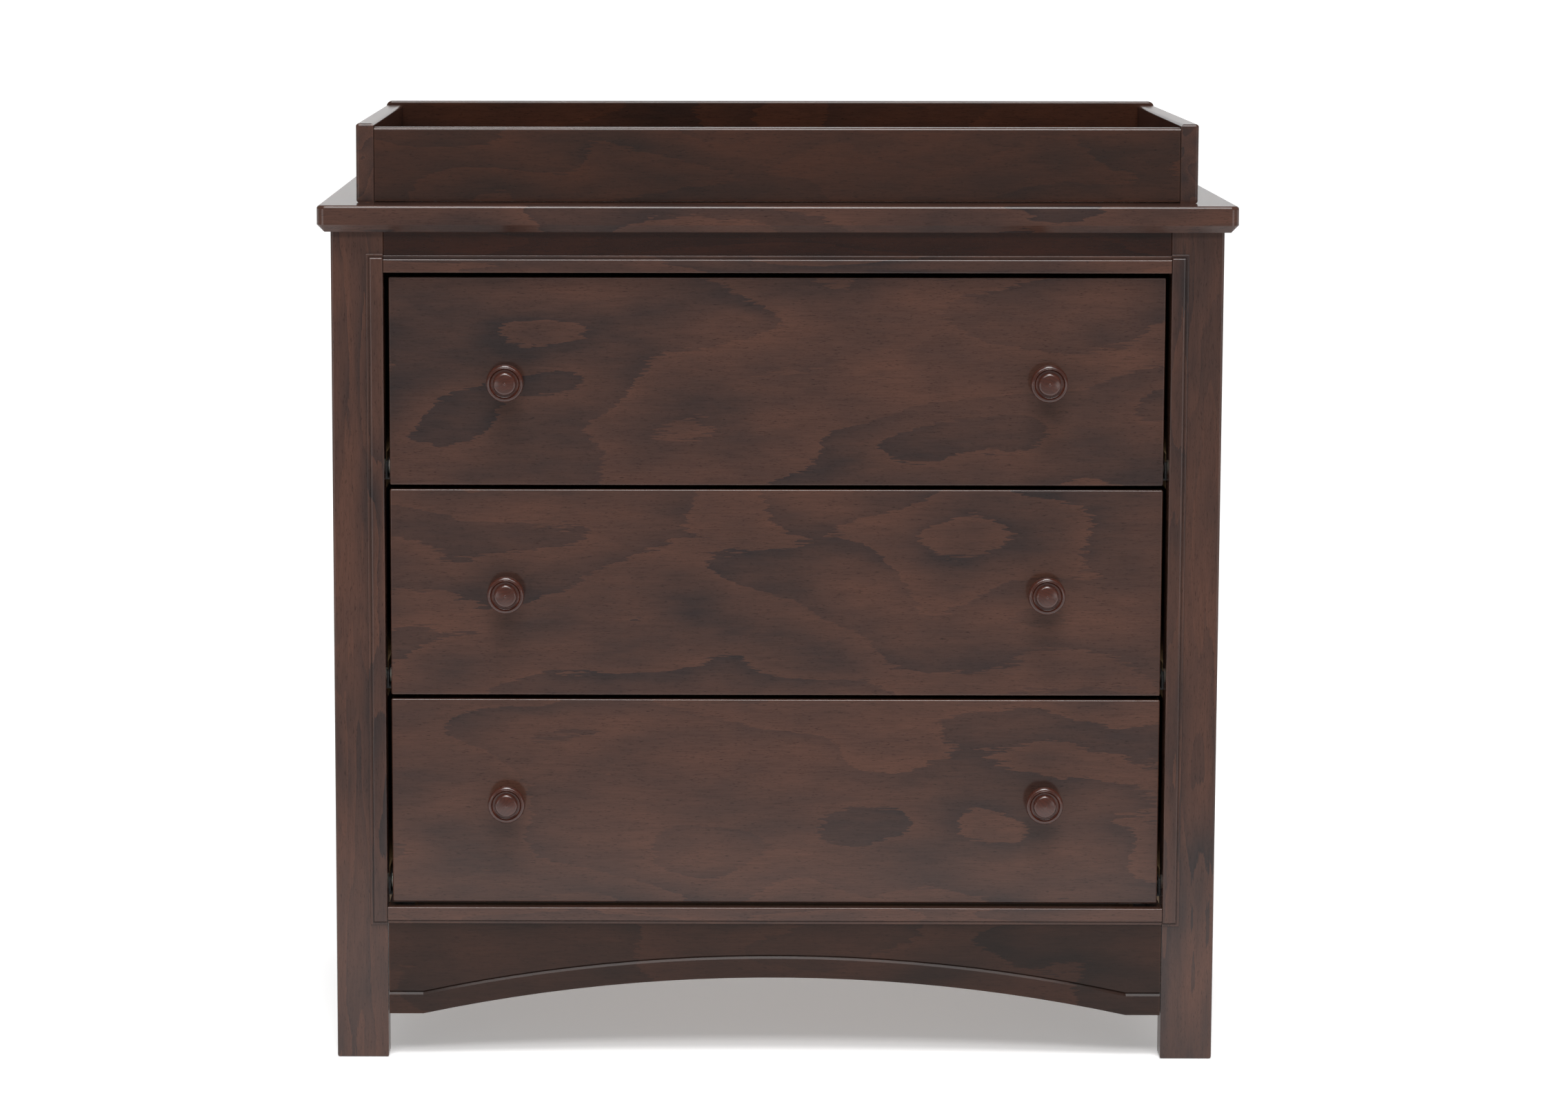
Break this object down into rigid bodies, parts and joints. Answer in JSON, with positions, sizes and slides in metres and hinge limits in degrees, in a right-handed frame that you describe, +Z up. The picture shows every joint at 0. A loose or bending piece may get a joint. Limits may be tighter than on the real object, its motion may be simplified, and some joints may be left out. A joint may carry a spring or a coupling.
{
  "type": "changing table",
  "caption": "Espresso-stained changing table: a dresser with inset drawers, turned knobs and an arched apron, under a lift-off tray for a changing pad.",
  "frame": {"origin": "on the floor under the middle of the object's bounding box, which runs from the knobs to the screw heads behind the tray", "axes": "+Z up, +X to the right of a person who faces the drawers, drawers open towards -Y, +Y towards the wall"},
  "size_m": [0.928, 0.508, 0.9655],
  "materials": {
    "stained_wood": "espresso-stained hardwood and veneer under satin lacquer",
    "knob_wood": "turned hardwood, stained espresso with a redder cast, satin lacquer",
    "drawer_wood": "planed pale softwood, clear sealer",
    "hardboard": "smooth tempered hardboard",
    "slide_steel": "folded sheet steel with a dark grey coating",
    "roller_nylon": "moulded off-white nylon",
    "screw_steel": "zinc-plated steel",
    "bracket_steel": "black powder-coated steel strip"
  },
  "bodies": {
    "carcass": {"apron": "stained_wood", "apron_moulding": "stained_wood", "back_panel": "hardboard", "bottom_drawer_runners": "slide_steel", "dresser_top": "stained_wood", "front_left_post": "stained_wood", "front_right_post": "stained_wood", "front_top_rail": "stained_wood", "left_post_moulding": "stained_wood", "left_side_panel": "stained_wood", "middle_drawer_runners": "slide_steel", "rear_bottom_rail": "drawer_wood", "rear_left_post": "stained_wood", "rear_right_post": "stained_wood", "rear_screws": "screw_steel", "rear_top_rail": "drawer_wood", "right_post_moulding": "stained_wood", "right_side_panel": "stained_wood", "runner_cleats": "drawer_wood", "top_drawer_runners": "slide_steel", "top_rail_moulding": "stained_wood"},
    "top_drawer": {"top_drawer_front": "stained_wood", "top_drawer_left_side": "drawer_wood", "top_drawer_right_side": "drawer_wood", "top_drawer_back": "drawer_wood", "top_drawer_bottom": "hardboard", "top_drawer_left_knob": "knob_wood", "top_drawer_right_knob": "knob_wood", "top_drawer_knob_screws": "screw_steel", "top_drawer_slides": "slide_steel"},
    "top_front_rollers": {"top_drawer_front_rollers": "roller_nylon"},
    "top_rear_rollers": {"top_drawer_rear_rollers": "roller_nylon"},
    "middle_drawer": {"middle_drawer_front": "stained_wood", "middle_drawer_left_side": "drawer_wood", "middle_drawer_right_side": "drawer_wood", "middle_drawer_back": "drawer_wood", "middle_drawer_bottom": "hardboard", "middle_drawer_left_knob": "knob_wood", "middle_drawer_right_knob": "knob_wood", "middle_drawer_knob_screws": "screw_steel", "middle_drawer_slides": "slide_steel"},
    "middle_front_rollers": {"middle_drawer_front_rollers": "roller_nylon"},
    "middle_rear_rollers": {"middle_drawer_rear_rollers": "roller_nylon"},
    "bottom_drawer": {"bottom_drawer_front": "stained_wood", "bottom_drawer_left_side": "drawer_wood", "bottom_drawer_right_side": "drawer_wood", "bottom_drawer_back": "drawer_wood", "bottom_drawer_bottom": "hardboard", "bottom_drawer_left_knob": "knob_wood", "bottom_drawer_right_knob": "knob_wood", "bottom_drawer_knob_screws": "screw_steel", "bottom_drawer_slides": "slide_steel"},
    "bottom_front_rollers": {"bottom_drawer_front_rollers": "roller_nylon"},
    "bottom_rear_rollers": {"bottom_drawer_rear_rollers": "roller_nylon"},
    "tray": {"tray_front_board": "stained_wood", "tray_rear_board": "stained_wood", "tray_left_board": "stained_wood", "tray_right_board": "stained_wood", "tray_brackets": "bracket_steel", "tray_screws": "screw_steel"}
  },
  "joints": [
    {"name": "top_drawer_slide", "type": "slide", "parent": "carcass", "child": "top_drawer", "axis": [0, -1, 0], "range_m": [0, 0.3]},
    {"name": "middle_drawer_slide", "type": "slide", "parent": "carcass", "child": "middle_drawer", "axis": [0, -1, 0], "range_m": [0, 0.3]},
    {"name": "bottom_drawer_slide", "type": "slide", "parent": "carcass", "child": "bottom_drawer", "axis": [0, -1, 0], "range_m": [0, 0.3]},
    {"name": "tray_lift", "type": "slide", "parent": "carcass", "child": "tray", "axis": [0, 0, 1], "range_m": [0, 0.12]},
    {"name": "top_front_rollers_spin", "type": "hinge", "parent": "carcass", "child": "top_front_rollers", "pos_m": [0, -0.192, 0.6107], "axis": [1, 0, 0], "continuous": true},
    {"name": "top_rear_rollers_spin", "type": "hinge", "parent": "top_drawer", "child": "top_rear_rollers", "pos_m": [0, 0.18, 0.6083], "axis": [1, 0, 0], "continuous": true},
    {"name": "middle_front_rollers_spin", "type": "hinge", "parent": "carcass", "child": "middle_front_rollers", "pos_m": [0, -0.192, 0.3942], "axis": [1, 0, 0], "continuous": true},
    {"name": "middle_rear_rollers_spin", "type": "hinge", "parent": "middle_drawer", "child": "middle_rear_rollers", "pos_m": [0, 0.18, 0.3918], "axis": [1, 0, 0], "continuous": true},
    {"name": "bottom_front_rollers_spin", "type": "hinge", "parent": "carcass", "child": "bottom_front_rollers", "pos_m": [0, -0.192, 0.1777], "axis": [1, 0, 0], "continuous": true},
    {"name": "bottom_rear_rollers_spin", "type": "hinge", "parent": "bottom_drawer", "child": "bottom_rear_rollers", "pos_m": [0, 0.18, 0.1753], "axis": [1, 0, 0], "continuous": true}
  ],
  "couplings": [
    {"joint": "top_front_rollers_spin", "follows": "top_drawer_slide", "rad_per_m": 128.21},
    {"joint": "top_rear_rollers_spin", "follows": "top_drawer_slide", "rad_per_m": 128.21},
    {"joint": "middle_front_rollers_spin", "follows": "middle_drawer_slide", "rad_per_m": 128.21},
    {"joint": "middle_rear_rollers_spin", "follows": "middle_drawer_slide", "rad_per_m": 128.21},
    {"joint": "bottom_front_rollers_spin", "follows": "bottom_drawer_slide", "rad_per_m": 128.21},
    {"joint": "bottom_rear_rollers_spin", "follows": "bottom_drawer_slide", "rad_per_m": 128.21}
  ]
}
